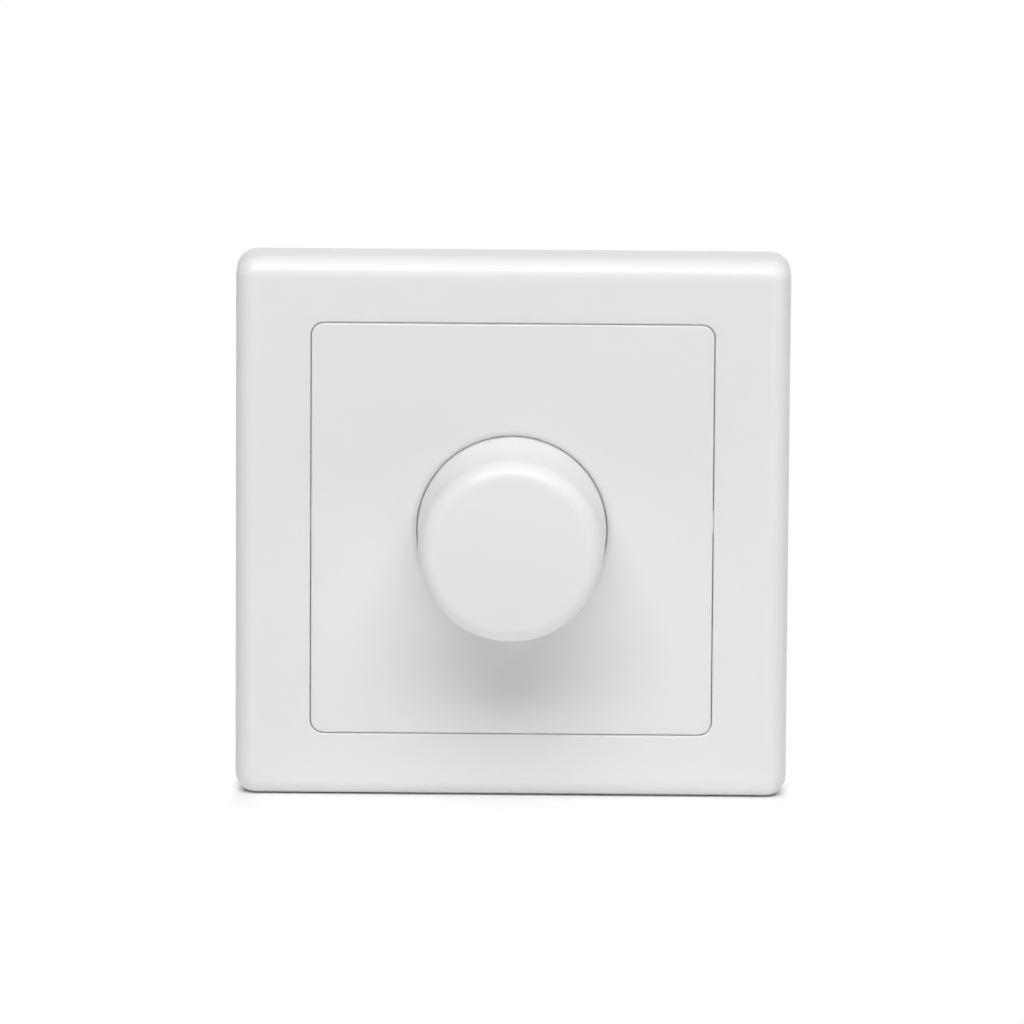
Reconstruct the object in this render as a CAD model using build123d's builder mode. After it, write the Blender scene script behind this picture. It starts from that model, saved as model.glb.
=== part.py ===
from build123d import *
from math import sqrt
import os

os.makedirs("parts", exist_ok=True)

# A flush-mounted rotary dimmer: turn the knob to dim, push it to switch.
# Millimetres. X runs to the right, Z up, and Y into the wall, which is the plane Y = 0.
# A level is a height out of the wall: positive towards the viewer, negative in the wall box.

# Cover frame
frame_width = 81.0
frame_height = 80.6
frame_depth = 7.5
frame_corner = 3.1
frame_edge = 3.0
frame_wall = 2.0
frame_skin = 2.0
frame_inner_wall = 1.4
frame_rib = 1.0
frame_rib_base = 3.0
frame_rib_pitch = 15.0
ledge_width = 1.6
ledge_base = 2.0
ledge_thickness = 1.5
ledge_top = ledge_base + ledge_thickness

# Centre plate, set in the frame with a fine groove round it
plate_width = 58.8
plate_height = 61.3
plate_corner = 1.9
plate_thickness = 1.8
plate_skirt = 1.2
plate_rib = 1.0
plate_rib_drop = 1.4
groove = 0.33
groove_edge = 0.4
plate_front = frame_depth
opening_width = plate_width + 2 * groove
opening_height = plate_height + 2 * groove
opening_corner = plate_corner + groove

# Support plate of sheet steel, a little smaller than the hollow of the frame
support_side_gap = 3.0
support_end_gap = 2.8
support_width = frame_width - 2 * frame_wall - 2 * support_side_gap
support_height = frame_height - 2 * frame_wall - 2 * support_end_gap
support_corner = 4.0
support_thickness = 1.2
box_screw_pitch = 60.0
box_screw_hole = 1.9
box_slot_length = 6.4
box_screw_head = 4.2
box_arc_half_angle = 7.0

# Bush, nuts and recess for the knob
bush_radius = 5.0
bush_bore = 3.05
bush_front = 5.8
bush_flange_radius = 8.0
bush_flange_thickness = 1.0
thread_clearance = 0.05
thin_nut_flats = 14.0
thin_nut_thickness = 1.5
thin_nut_front = support_thickness + thin_nut_thickness
recess_floor_thickness = 1.3
recess_floor = thin_nut_front + recess_floor_thickness
recess_radius = 14.3
recess_lip = 0.8
recess_wall = 1.3
retaining_nut_radius = 7.4
retaining_nut_thickness = 2.0
retaining_nut_front = recess_floor + retaining_nut_thickness

# Knob
knob_base_radius = 13.9
knob_front_radius = 13.45
knob_height = 17.3
knob_front = plate_front + knob_height
knob_base_gap = 1.2
knob_travel = 1.0
knob_base = recess_floor + knob_base_gap
knob_rim = 2.6
knob_dome = 0.5
dome_radius = (knob_front_radius**2 + knob_dome**2) / (2 * knob_dome)
knob_wall = 1.6
knob_roof = 1.9
knob_rib = 1.0
knob_web_height = 7.0
hub_radius = 4.8
hub_base = retaining_nut_front + knob_travel + 0.3
hub_slot = 1.0
hub_slot_length = 5.0
hub_ring_wall = 0.5
hub_ring_width = 2.4

# Spindle
spindle_radius = 3.0
spindle_flat = 2.1
spindle_clearance = 0.05
spindle_tip = 18.8
spindle_slot_width = 0.8
spindle_slot_depth = 6.0
clip_groove_radius = 2.5
clip_radius = 4.6
clip_thickness = 0.5
clip_gap_width = 3.0

# Potentiometer, behind the support plate
pot_radius = 9.0
pot_wall = 1.0
pot_front = -bush_flange_thickness
pot_depth = 8.0
pot_inside = pot_front - pot_wall
clip_front = pot_inside - 0.1
rotor_front = clip_front - clip_thickness - knob_travel - 0.2
rotor_thickness = 2.2
rotor_radius = 7.4
wiper_thickness = 0.4
track_thickness = 1.0
pot_back = pot_front - pot_depth
track_front = pot_back + track_thickness
shaft_hole = 3.4

# Circuit board
board_thickness = 1.6
board_front = pot_back
board_back = board_front - board_thickness
board_gap = 0.5

# Push switch, on the back of the board
switch_width = 15.0
switch_depth = 9.0
switch_wall = 1.2
switch_back = board_back - switch_depth
spindle_end = board_back - 0.4
plunger_front = spindle_end
plunger_neck_radius = 2.6
plunger_neck = 1.6
plunger_size = 7.0
plunger_block = 2.2
plunger_back = plunger_front - plunger_neck - plunger_block
bridge_length = 11.6
bridge_height = 6.4
bridge_thickness = 0.4
contact_thickness = 0.5
contact_width = 3.0
contact_length = 2.6

contact_clearance = 0.05
spring_radius = 2.1
spring_wire = 0.25
spring_turns = 4

# Base housing
housing_width = 43.0
housing_height = 50.0
housing_bulge = 2.0
housing_radius = housing_height / 2 + housing_bulge
housing_wall = 1.8
housing_rear_wall = 2.0
housing_back = -24.0
housing_inside = housing_back + housing_rear_wall
switch_end_gap = 13.0
switch_height = housing_height / 2 - switch_end_gap
post_side_inset = 5.5
post_end_inset = 7.5
post_x = housing_width / 2 - post_side_inset
post_z = housing_height / 2 - post_end_inset
post_radius = 2.6
housing_screw_radius = 1.0
housing_screw_length = 9.0
housing_screw_head = 2.2
housing_screw_head_height = 1.1
vent_width = 1.6
vent_length = 11.0
vent_pitch = 3.6
vent_count = 7

# Terminals
terminal_gap = 2.0
terminal_post_gap = 0.9
terminal_outer_x = post_x - post_radius - terminal_post_gap
terminal_pitch = (terminal_outer_x + terminal_gap / 2) / 1.5
terminal_width = terminal_pitch - terminal_gap
terminal_height = 6.4
terminal_depth = 8.4
terminal_back = board_back - terminal_depth
wire_hole = 2.2
wire_blind = 2.0
wire_collar_wall = 0.9
terminal_screw_radius = 1.5
terminal_screw_head = 2.4
terminal_screw_head_height = 1.6
terminal_screw_depth = 4.2
terminal_screw_level = board_back - terminal_screw_depth
terminal_screw_gap = 0.3
terminal_screw_tip_gap = 0.1
terminal_screw_wall_gap = 0.374
terminal_flank_z = sqrt((housing_radius - housing_wall) ** 2 - (terminal_pitch + terminal_screw_head) ** 2)
terminal_end_z = terminal_flank_z - terminal_screw_wall_gap - terminal_screw_head_height
terminal_z = terminal_screw_gap + terminal_height / 2 - terminal_end_z
terminal_rib = 1.0
screwdriver_hole = 2.7

# Spreading claws, their screws and nuts
claw_pivot_gap = 1.1
claw_pivot_x = housing_width / 2 + claw_pivot_gap
claw_pivot_level = -1.6
claw_inner_gap = 0.6
claw_inner_x = claw_pivot_x - claw_inner_gap
claw_arm_reach = 4.5
claw_arm_x = claw_pivot_x + claw_arm_reach
claw_arm_start = 0.6
claw_ear_nose = 1.0
claw_ear_slope = 2.6
claw_sheet = 0.9
claw_half_width = 4.0
claw_ear = 1.0
claw_length = 21.0
claw_arm_front = -2.2
claw_ear_front = -0.5
claw_ear_back = -6.5
claw_trunnion = 0.8
claw_trunnion_clearance = 0.07
claw_trunnion_length = 1.2
fork_front = -9.5
fork_thickness = 1.2
fork_shift = 0.1
fork_inner_x = claw_pivot_x + fork_shift
tooth_depth = 1.6
tab_thickness = 1.0
tab_gap = 0.2
tab_depth = 3.0
tab_width = 2.4
tab_shift = 0.3
tab_x = claw_pivot_x + tab_shift
claw_screw_shift = 1.6
claw_screw_x = claw_pivot_x + claw_screw_shift
claw_screw_radius = 1.5
claw_screw_head = 2.6
claw_screw_head_height = 2.0
claw_screw_tip = -15.0
claw_screw_clearance = 0.1
claw_nut_size = 5.2
claw_nut_thickness = 2.5
claw_nut_gap = 0.4
slot_width = 1.0
slot_depth = 0.8

# Triac on its insulating pad, riveted to the support plate
triac_z = (pot_radius + housing_height / 2 - housing_wall) / 2
triac_length = 15.6
triac_height = 10.0
triac_thickness = 4.4
triac_tab_thickness = 1.3
triac_body_length = 9.2
pad_thickness = 0.3
rivet_x = -4.9
rivet_radius = 1.5
rivet_head_radius = 2.6
rivet_head = 0.7
lead_width = 0.8
lead_pitch = 2.54
lead_reach = 2.2

# Choke, capacitors and small parts
middle_gap = 0.9
choke_post_gap = 1.0
choke_switch_gap = 2.2
choke_radius = 5.4
choke_core = 2.6
choke_length = post_x - post_radius - choke_post_gap - middle_gap
choke_x = -middle_gap - choke_length / 2
choke_z = switch_height / 2 + choke_switch_gap + choke_radius
choke_flange = 1.4
choke_winding_radius = 4.7
choke_turns = 9
choke_wire_bulge = 0.4
capacitor_switch_gap = 3.2
capacitor_height = 6.4
capacitor_length = post_x - post_radius - middle_gap
capacitor_x = middle_gap + capacitor_length / 2
capacitor_z = switch_height / 2 + capacitor_switch_gap + capacitor_height / 2
capacitor_depth = 9.5
fuse_radius = 2.5
fuse_length = 20.0
fuse_cap = 5.0
fuse_cap_wall = 0.25
fuse_clip_width = 3.6
fuse_clip_wall = 0.4
fuse_clip_mouth = 2.2
fuse_clip_x = (fuse_length - fuse_cap) / 2
fuse_lift = 1.5
fuse_level = board_back - fuse_lift - fuse_radius - fuse_clip_wall
fuse_z = (terminal_z + terminal_height / 2 - switch_height / 2) / 2
resistor_radius = 1.2
resistor_end_radius = 1.4
resistor_length = 6.4
resistor_wire = 0.35
resistor_pitch = 3.4
resistor_count = 3
resistor_z = resistor_count * resistor_pitch + housing_wall - housing_height / 2
disc_radius = 3.4
disc_thickness = 2.4
disc_lift = 0.6
disc_wire_pitch = 3.2
disc_z = -11.0
disc_pot_gap = 3.0
disc_x = pot_radius + disc_pot_gap
diode_radius = 0.95
diode_length = 4.2
diode_pot_gap = 4.5
diode_x = pot_radius + diode_pot_gap
wire_bend = 0.9


def level(height):
    """The plane across the wall at a height out of it; its normal faces the viewer."""
    return Plane.XZ.offset(height)


# Half section through the knob's axis: first coordinate the radius, second the height out of the wall
axis_plane = Plane(origin=(0, 0, 0), x_dir=(1, 0, 0), z_dir=(0, 0, -1))


def finish(part, name):
    """Label a finished piece and write it to its own file."""
    part.part.label = name
    export_step(part.part, f"parts/{name}.step")


# Cover frame: one moulding, hollow behind, with a ledge that the centre plate presses on
with BuildPart() as cover_frame:
    with BuildSketch(level(0)):
        RectangleRounded(frame_width, frame_height, frame_corner)
    extrude(amount=frame_depth)
    fillet(faces().sort_by(Axis.Y)[0].edges(), frame_edge)
    with BuildSketch(level(0)):
        RectangleRounded(opening_width, opening_height, opening_corner)
    extrude(amount=frame_depth, mode=Mode.SUBTRACT)
    fillet(faces().sort_by(Axis.Y)[0].inner_wires().edges(), groove_edge)
    with BuildSketch(level(0)):
        RectangleRounded(
            frame_width - 2 * frame_wall,
            frame_height - 2 * frame_wall,
            frame_corner - frame_wall,
        )
        RectangleRounded(
            opening_width + 2 * frame_inner_wall,
            opening_height + 2 * frame_inner_wall,
            opening_corner + frame_inner_wall,
            mode=Mode.SUBTRACT,
        )
    extrude(amount=frame_depth - frame_skin, mode=Mode.SUBTRACT)
    with BuildSketch(level(0)):
        Rectangle(
            opening_width + 3 * frame_inner_wall,
            opening_height + 3 * frame_inner_wall,
        )
    extrude(amount=ledge_base, mode=Mode.SUBTRACT)
    with BuildSketch(level(ledge_base)):
        RectangleRounded(
            opening_width + frame_inner_wall,
            opening_height + frame_inner_wall,
            opening_corner + frame_inner_wall / 2,
        )
        Rectangle(opening_width - 2 * ledge_width, opening_height - 2 * ledge_width, mode=Mode.SUBTRACT)
    extrude(amount=ledge_thickness)
    side_gap = (frame_width - opening_width) / 2 - frame_inner_wall - frame_wall
    side_x = (opening_width + side_gap) / 2 + frame_inner_wall
    top_gap = (frame_height - opening_height) / 2 - frame_inner_wall - frame_wall
    top_z = (opening_height + top_gap) / 2 + frame_inner_wall
    rib_height = frame_depth - frame_skin - frame_rib_base
    with BuildSketch(level(frame_rib_base)):
        for side in (-1, 1):
            with Locations((side * side_x, 0)):
                with GridLocations(0, frame_rib_pitch, 1, 4):
                    Rectangle(side_gap + 0.4, frame_rib)
            with Locations((0, side * top_z)):
                with GridLocations(frame_rib_pitch, 0, 4, 1):
                    Rectangle(frame_rib, top_gap + 0.4)
    extrude(amount=rib_height)
    with BuildSketch(level(0)):
        with PolarLocations(box_screw_pitch / 2, 4):
            Circle(box_screw_head)
    extrude(amount=ledge_top, mode=Mode.SUBTRACT)
finish(cover_frame, "cover_frame")


# Centre plate: a shallow tray with a round recess for the knob and ribs behind
with BuildPart() as centre_plate:
    with BuildSketch(level(ledge_top)):
        RectangleRounded(plate_width, plate_height, plate_corner)
    extrude(amount=plate_front - ledge_top)
    fillet(faces().sort_by(Axis.Y)[0].edges(), groove_edge)
    with BuildSketch(level(ledge_top)):
        Rectangle(plate_width - 2 * plate_skirt, plate_height - 2 * plate_skirt)
    extrude(amount=plate_front - plate_thickness - ledge_top, mode=Mode.SUBTRACT)
    plate_back = plate_front - plate_thickness
    with BuildSketch(level(thin_nut_front)):
        Circle(recess_radius + recess_wall)
    extrude(amount=plate_back - thin_nut_front)
    rib_length = plate_width / 2 - plate_skirt - recess_radius - recess_wall
    rib_middle = recess_radius + recess_wall + rib_length / 2
    with BuildSketch(level(plate_back - plate_rib_drop)):
        with PolarLocations(rib_middle, 8):
            Rectangle(rib_length + 0.6, plate_rib)
    extrude(amount=plate_rib_drop)
    with BuildSketch(level(recess_floor)):
        Circle(recess_radius)
    extrude(amount=plate_front - recess_floor, mode=Mode.SUBTRACT)
    with BuildSketch(level(thin_nut_front)):
        Circle(bush_radius + 2 * thread_clearance)
    extrude(amount=recess_floor_thickness, mode=Mode.SUBTRACT)
    fillet(faces().sort_by(Axis.Y)[0].inner_wires().edges(), recess_lip)
finish(centre_plate, "centre_plate")


# Knob: a hollow tapered cap with a soft rim, a keyed hub and four webs
with BuildPart() as knob:
    with BuildSketch(axis_plane):
        with BuildLine():
            Polyline(
                (0, knob_base),
                (knob_base_radius, knob_base),
                (knob_front_radius, knob_front - knob_dome),
            )
            RadiusArc((knob_front_radius, knob_front - knob_dome), (0, knob_front), -dome_radius)
            Line((0, knob_front), (0, knob_base))
        make_face()
        fillet(vertices().sort_by(Axis.Y)[2], knob_rim)
    revolve(axis=Axis.Y)
    knob_roof_level = knob_front - knob_dome - knob_roof
    with BuildSketch(level(knob_base)):
        Circle(knob_base_radius - knob_wall)
    extrude(amount=knob_roof_level - knob_base, taper=1.5, mode=Mode.SUBTRACT)
    web_base = knob_roof_level - knob_web_height
    with BuildSketch(level(hub_base)):
        Circle(hub_radius)
    extrude(amount=knob_roof_level - hub_base + 0.3)
    with BuildSketch(level(web_base)):
        with PolarLocations((hub_radius + knob_front_radius - knob_wall) / 2, 4):
            Rectangle(knob_front_radius - knob_wall - hub_radius + 0.8, knob_rib)
    extrude(amount=knob_roof_level - web_base + 0.3)
    with BuildSketch(level(hub_base)):
        Circle(spindle_radius + spindle_clearance)
        with Locations((0, spindle_flat + spindle_clearance)):
            Rectangle(
                2 * spindle_radius + 1, spindle_radius, align=(Align.CENTER, Align.MIN), mode=Mode.SUBTRACT
            )
    extrude(amount=spindle_tip + 0.4 - hub_base, mode=Mode.SUBTRACT)
    with BuildSketch(level(hub_base)):
        Rectangle(2 * hub_radius + 1, hub_slot)
    extrude(amount=hub_slot_length, mode=Mode.SUBTRACT)
finish(knob, "knob")


# Spring ring round the split end of the knob's hub
hub_ring_start = hub_base + 0.8
with BuildPart() as hub_ring:
    with BuildSketch(level(hub_ring_start)):
        Circle(hub_radius + 0.02 + hub_ring_wall)
        Circle(hub_radius + 0.02, mode=Mode.SUBTRACT)
        with Locations((hub_radius, 0)):
            Rectangle(3 * hub_ring_wall, hub_slot, mode=Mode.SUBTRACT)
    extrude(amount=hub_ring_width)
finish(hub_ring, "hub_spring_ring")


# Retaining nut: round, with two spanner slots, clamps the centre plate
with BuildPart() as retaining_nut:
    with BuildSketch(level(recess_floor)):
        Circle(retaining_nut_radius)
        Circle(bush_radius + thread_clearance, mode=Mode.SUBTRACT)
    extrude(amount=retaining_nut_thickness)
    chamfer(faces().sort_by(Axis.Y)[0].outer_wire().edges(), 0.4)
    with BuildSketch(level(retaining_nut_front)):
        with PolarLocations(retaining_nut_radius, 2):
            Rectangle(2.4, 1.8)
    extrude(amount=-1.2, mode=Mode.SUBTRACT)
finish(retaining_nut, "retaining_nut")


# Thin nut: fixes the bush to the support plate
with BuildPart() as thin_nut:
    with BuildSketch(level(support_thickness)):
        RegularPolygon(thin_nut_flats / 2, 6, major_radius=False)
        Circle(bush_radius + thread_clearance, mode=Mode.SUBTRACT)
    extrude(amount=thin_nut_thickness)
    chamfer(edges().filter_by(GeomType.CIRCLE), 0.2)
finish(thin_nut, "thin_nut")


# Threaded bush that guides the spindle
with BuildPart() as bush:
    with BuildSketch(level(-bush_flange_thickness)):
        Circle(bush_flange_radius)
    extrude(amount=bush_flange_thickness)
    with BuildSketch(level(0)):
        Circle(bush_radius)
    extrude(amount=bush_front)
    chamfer(faces().sort_by(Axis.Y)[0].edges(), 0.4)
    with BuildSketch(level(-bush_flange_thickness)):
        Circle(bush_bore)
    extrude(amount=bush_front + bush_flange_thickness, mode=Mode.SUBTRACT)
finish(bush, "threaded_bush")


# Spindle with a flat for the knob and the wiper, and a groove for its clip
with BuildPart() as spindle:
    with BuildSketch(level(spindle_end)):
        Circle(spindle_radius)
    extrude(amount=spindle_tip - spindle_end)
    chamfer(faces().sort_by(Axis.Y)[0].edges(), 0.4)
    with BuildSketch(level(hub_base - 0.4)):
        with Locations((0, spindle_flat)):
            Rectangle(2 * spindle_radius + 1, spindle_radius, align=(Align.CENTER, Align.MIN))
    extrude(amount=spindle_tip - hub_base + 0.4, mode=Mode.SUBTRACT)
    with BuildSketch(level(clip_front - clip_thickness - 0.02)):
        Circle(spindle_radius + 1)
        Circle(clip_groove_radius, mode=Mode.SUBTRACT)
    extrude(amount=clip_thickness + 0.04, mode=Mode.SUBTRACT)
    with BuildSketch(level(spindle_end)):
        with Locations((0, spindle_flat)):
            Rectangle(2 * spindle_radius + 1, spindle_radius, align=(Align.CENTER, Align.MIN))
    extrude(amount=clip_front - clip_thickness - spindle_end, mode=Mode.SUBTRACT)
    with BuildSketch(level(spindle_tip)):
        Rectangle(spindle_slot_width, 2 * spindle_radius + 1)
    extrude(amount=-spindle_slot_depth, mode=Mode.SUBTRACT)
finish(spindle, "spindle")


# Open clip that keeps the spindle in the bush
with BuildPart() as spindle_clip:
    with BuildSketch(level(clip_front - clip_thickness)):
        Circle(clip_radius)
        Circle(clip_groove_radius + 0.03, mode=Mode.SUBTRACT)
        with Locations((0, -clip_radius)):
            Rectangle(clip_gap_width, 2 * clip_radius, mode=Mode.SUBTRACT)
    extrude(amount=clip_thickness)
finish(spindle_clip, "spindle_clip")


# Potentiometer case: a cup, open behind, with the bush through its front wall
with BuildPart() as pot_case:
    with BuildSketch(level(pot_back)):
        Circle(pot_radius)
    extrude(amount=pot_depth)
    fillet(faces().sort_by(Axis.Y)[0].edges(), 0.5)
    with BuildSketch(level(pot_back)):
        Circle(pot_radius - pot_wall)
    extrude(amount=pot_depth - pot_wall, mode=Mode.SUBTRACT)
    with BuildSketch(level(pot_inside)):
        Circle(shaft_hole)
    extrude(amount=pot_wall, mode=Mode.SUBTRACT)
finish(pot_case, "potentiometer_case")


# Wiper rotor: turned by the spindle's flat, which slides through it
with BuildPart() as wiper_rotor:
    with BuildSketch(level(rotor_front - rotor_thickness)):
        Circle(rotor_radius)
        Circle(spindle_radius + spindle_clearance, mode=Mode.SUBTRACT)
        with Locations((0, spindle_flat + spindle_clearance)):
            Rectangle(
                2 * spindle_radius * 0.8, spindle_radius * 0.6, align=(Align.CENTER, Align.MIN)
            )
    extrude(amount=rotor_thickness)
    with BuildSketch(level(rotor_front)):
        with Locations((0, -rotor_radius)):
            Circle(1.4)
    extrude(amount=-rotor_thickness / 2, mode=Mode.SUBTRACT)
finish(wiper_rotor, "wiper_rotor")


# Wiper leaf: a thin spring ring with two bent fingers that reach the track
rotor_back = rotor_front - rotor_thickness
finger_length = rotor_back - wiper_thickness - track_front - contact_clearance
with BuildPart() as wiper_leaf:
    with BuildSketch(level(rotor_back - wiper_thickness)):
        Circle(rotor_radius - 0.6)
        Circle(shaft_hole + 0.4, mode=Mode.SUBTRACT)
    extrude(amount=wiper_thickness)
    with BuildSketch(level(rotor_back - wiper_thickness)):
        with PolarLocations(rotor_radius - 1.2, 2, start_angle=-100, angular_range=20, rotate=True):
            Rectangle(0.8, 0.9)
    extrude(amount=-finger_length)
finish(wiper_leaf, "wiper_leaf")


# Track disc that closes the potentiometer and carries the resistance track
with BuildPart() as track_disc:
    with BuildSketch(level(pot_back)):
        Circle(pot_radius - pot_wall - 0.05)
        Circle(shaft_hole, mode=Mode.SUBTRACT)
    extrude(amount=track_thickness)
finish(track_disc, "track_disc")


# Support plate with its screw holes and the bent tabs that carry the claws
post_spots = [(x, z) for x in (-post_x, post_x) for z in (-post_z, post_z)]
with BuildPart() as support_plate:
    with BuildSketch(level(0)):
        RectangleRounded(support_width, support_height, support_corner)
        Circle(bush_radius + thread_clearance, mode=Mode.SUBTRACT)
        with Locations((-box_screw_pitch / 2, 0), (box_screw_pitch / 2, 0)):
            SlotOverall(box_slot_length, 2 * box_screw_hole, mode=Mode.SUBTRACT)
        for centre_angle in (90, 270):
            SlotArc(
                CenterArc(
                    (0, 0),
                    box_screw_pitch / 2,
                    centre_angle - box_arc_half_angle,
                    2 * box_arc_half_angle,
                ),
                2 * box_screw_hole,
                mode=Mode.SUBTRACT,
            )
        with Locations((-claw_screw_x, 0), (claw_screw_x, 0)):
            Circle(claw_screw_radius + claw_screw_clearance, mode=Mode.SUBTRACT)
        with Locations(post_spots):
            Circle(housing_screw_radius + claw_screw_clearance, mode=Mode.SUBTRACT)
        with Locations((rivet_x, triac_z)):
            Circle(rivet_radius + thread_clearance, mode=Mode.SUBTRACT)
    extrude(amount=support_thickness)
    tab_z = claw_half_width + tab_gap + tab_thickness / 2
    with BuildSketch(level(0)):
        for x in (-tab_x, tab_x):
            for z in (-tab_z, tab_z):
                with Locations((x, z)):
                    Rectangle(tab_width, tab_thickness)
    extrude(amount=-tab_depth)
    for x in (-claw_pivot_x, claw_pivot_x):
        with BuildSketch(Plane.XY.offset(-tab_z - tab_thickness)):
            with Locations((x, -claw_pivot_level)):
                Circle(claw_trunnion + claw_trunnion_clearance)
        extrude(amount=2 * (tab_z + tab_thickness), mode=Mode.SUBTRACT)
finish(support_plate, "support_plate")


# Base housing: a square cup with rounded flanks, screw posts, wire collars and vents
terminal_spots = [(i * terminal_pitch, terminal_z) for i in (-1, 0, 1)]
with BuildPart() as base_housing:
    with BuildSketch(level(housing_back)):
        Rectangle(housing_width, housing_height)
        Circle(housing_radius, mode=Mode.INTERSECT)
    extrude(amount=-housing_back)
    fillet(faces().sort_by(Axis.Y)[-1].edges(), 0.8)
    with BuildSketch(level(housing_inside)):
        Rectangle(housing_width - 2 * housing_wall, housing_height - 2 * housing_wall)
        Circle(housing_radius - housing_wall, mode=Mode.INTERSECT)
    extrude(amount=-housing_inside, mode=Mode.SUBTRACT)
    with BuildSketch(level(housing_inside - 0.5)):
        with Locations(post_spots):
            Circle(post_radius)
    extrude(amount=0.5 - housing_inside)
    with BuildSketch(level(-housing_screw_length)):
        with Locations(post_spots):
            Circle(housing_screw_radius)
    extrude(amount=housing_screw_length, mode=Mode.SUBTRACT)
    inner_x = housing_width / 2 - housing_wall
    inner_z = housing_height / 2 - housing_wall
    with BuildSketch(level(housing_inside - 0.5)):
        for side in (-1, 1):
            with Locations((side * (inner_x - 0.9), 0)):
                Rectangle(2.2, 3.0)
    extrude(amount=board_back - housing_inside + 0.5)
    collar_length = terminal_back - 0.3 - housing_inside
    with BuildSketch(level(housing_inside - 0.5)):
        with Locations(terminal_spots):
            Circle(wire_hole + wire_collar_wall)
    extrude(amount=collar_length + 0.5)
    rib_top = board_back - 1.0
    rib_inner_z = terminal_z + terminal_height / 2
    rib_outer_z = -inner_z - housing_wall / 2
    with BuildSketch(level(housing_inside - 0.5)):
        with Locations([(side * terminal_pitch / 2, rib_outer_z) for side in (-1, 1)]):
            Rectangle(terminal_rib, rib_inner_z - rib_outer_z, align=(Align.CENTER, Align.MIN))
    extrude(amount=rib_top - housing_inside + 0.5)
    with BuildSketch(level(housing_back)):
        with Locations(terminal_spots):
            Circle(wire_hole)
    extrude(amount=terminal_back - housing_back, mode=Mode.SUBTRACT)
    with BuildSketch(Plane.XY.offset(-housing_height / 2)):
        with Locations([(x, -terminal_screw_level) for x, z in terminal_spots]):
            Circle(screwdriver_hole)
    extrude(amount=housing_wall, mode=Mode.SUBTRACT)
    with BuildSketch(level(housing_back)):
        with Locations((0, inner_z / 2)):
            with GridLocations(vent_pitch, 0, vent_count, 1):
                SlotOverall(vent_length, vent_width, rotation=90)
    extrude(amount=housing_rear_wall, mode=Mode.SUBTRACT)
finish(base_housing, "base_housing")


# Four screws through the support plate into the housing's posts
with BuildPart() as housing_screws:
    with BuildSketch(level(support_thickness)):
        with Locations(post_spots):
            Circle(housing_screw_head)
    extrude(amount=housing_screw_head_height)
    fillet(faces().filter_by(Plane.XZ).sort_by(Axis.Y)[0:4].edges(), 0.4)
    with BuildSketch(level(support_thickness)):
        with Locations(post_spots):
            Circle(housing_screw_radius - 0.02)
    extrude(amount=-(housing_screw_length - 0.5 + support_thickness))
    with BuildSketch(level(support_thickness + housing_screw_head_height)):
        with Locations(post_spots):
            Rectangle(2.4, 0.6)
            Rectangle(0.6, 2.4)
    extrude(amount=-0.7, mode=Mode.SUBTRACT)
finish(housing_screws, "housing_screws")


# Circuit board, cut round the posts, resting on the housing's two pillars
with BuildPart() as circuit_board:
    with BuildSketch(level(board_back)):
        Rectangle(
            housing_width - 2 * housing_wall - 2 * board_gap,
            housing_height - 2 * housing_wall - 2 * board_gap,
        )
        Circle(housing_radius - housing_wall - board_gap, mode=Mode.INTERSECT)
        Circle(shaft_hole, mode=Mode.SUBTRACT)
        with Locations(post_spots):
            Circle(post_radius + board_gap, mode=Mode.SUBTRACT)
    extrude(amount=board_thickness)
finish(circuit_board, "circuit_board")


# Push switch case: a box on the back of the board, open at the plunger
with BuildPart() as switch_case:
    with BuildSketch(level(switch_back)):
        Rectangle(switch_width, switch_height)
    extrude(amount=switch_depth)
    fillet(edges().filter_by(Axis.Y), 0.8)
    with BuildSketch(level(switch_back + switch_wall)):
        Rectangle(switch_width - 2 * switch_wall, switch_height - 2 * switch_wall)
    extrude(amount=switch_depth - 2 * switch_wall, mode=Mode.SUBTRACT)
    with BuildSketch(level(board_back - switch_wall)):
        Circle(shaft_hole)
    extrude(amount=switch_wall, mode=Mode.SUBTRACT)
    with BuildSketch(level(switch_back)):
        with Locations((-switch_width / 2 + 3.0, 0), (switch_width / 2 - 3.0, 0)):
            Rectangle(contact_length / 2 + 0.1, contact_width + 0.1)
    extrude(amount=switch_wall, mode=Mode.SUBTRACT)
finish(switch_case, "switch_case")


# Switch plunger: a neck that the spindle pushes and a square block for the bridge and spring
with BuildPart() as plunger:
    with BuildSketch(level(plunger_front)):
        Circle(plunger_neck_radius)
    extrude(amount=-plunger_neck - 0.1)
    with BuildSketch(level(plunger_front - plunger_neck)):
        Rectangle(plunger_size, plunger_size)
    extrude(amount=-plunger_block)
finish(plunger, "switch_plunger")


# Contact bridge: a brass strip under the plunger with a hole for the spring
with BuildPart() as bridge:
    with BuildSketch(level(plunger_back)):
        Rectangle(bridge_length, contact_width)
        Rectangle(plunger_size, bridge_height)
        Circle(spring_radius + 2 * spring_wire, mode=Mode.SUBTRACT)
    extrude(amount=-bridge_thickness)
finish(bridge, "contact_bridge")


# Two fixed contacts, each an angle with its tail through the back of the switch
contact_level = plunger_back - bridge_thickness - knob_travel - contact_clearance
contact_x = bridge_length / 2 - contact_length / 2
with BuildPart() as fixed_contacts:
    for side in (-1, 1):
        with BuildSketch(level(contact_level)):
            with Locations((side * contact_x, 0)):
                Rectangle(contact_length, contact_width)
        extrude(amount=-contact_thickness)
        with BuildSketch(level(contact_level)):
            with Locations((side * (switch_width / 2 - 3.0), 0)):
                Rectangle(contact_length / 2, contact_width)
        extrude(amount=switch_back - 1.0 - contact_level)
finish(fixed_contacts, "fixed_contacts")


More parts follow.
